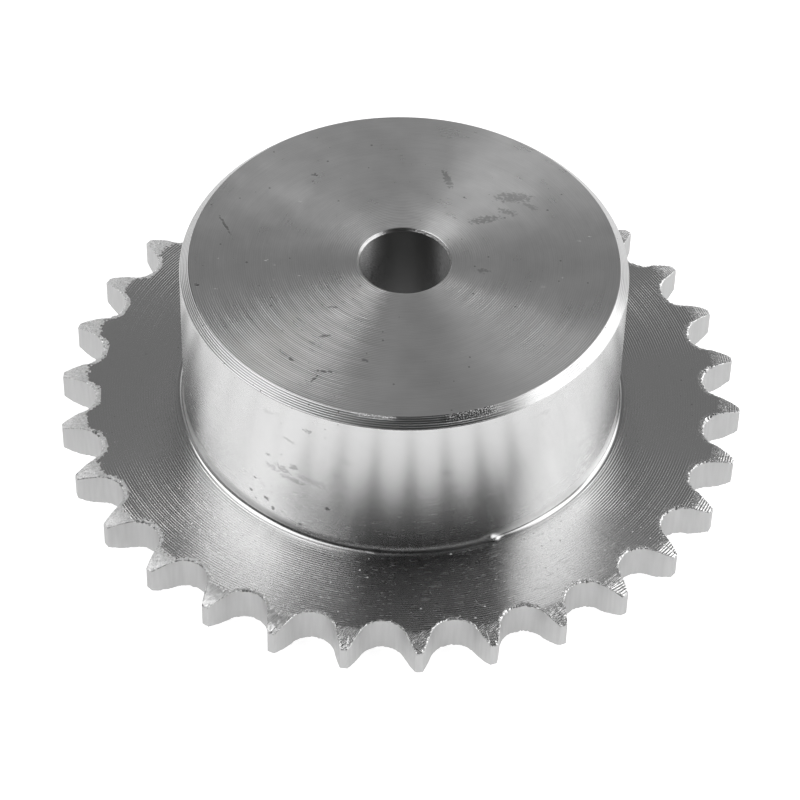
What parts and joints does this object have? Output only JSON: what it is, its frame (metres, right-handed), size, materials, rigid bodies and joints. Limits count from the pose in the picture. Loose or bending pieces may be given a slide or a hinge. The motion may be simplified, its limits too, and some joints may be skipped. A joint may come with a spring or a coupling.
{
  "type": "roller chain sprocket",
  "caption": "Toothed plate with a hub on one side and a plain pilot bore, turned and hobbed from one piece of steel to drive or be driven by a roller chain.",
  "frame": {"origin": "on the bore's axis, in the plane of the toothed plate's flat side", "axes": "+Z along the bore, from the plate's flat side to the hub's free end; +X through the middle of a tooth"},
  "size_m": [0.0944, 0.0938, 0.03],
  "materials": {
    "steel": "bare machined steel: fine concentric turning marks on the faces, satin hobbed tooth flanks, rough bevelled tooth sides"
  },
  "bodies": {
    "root": {"sprocket": "steel"}
  },
  "joints": []
}
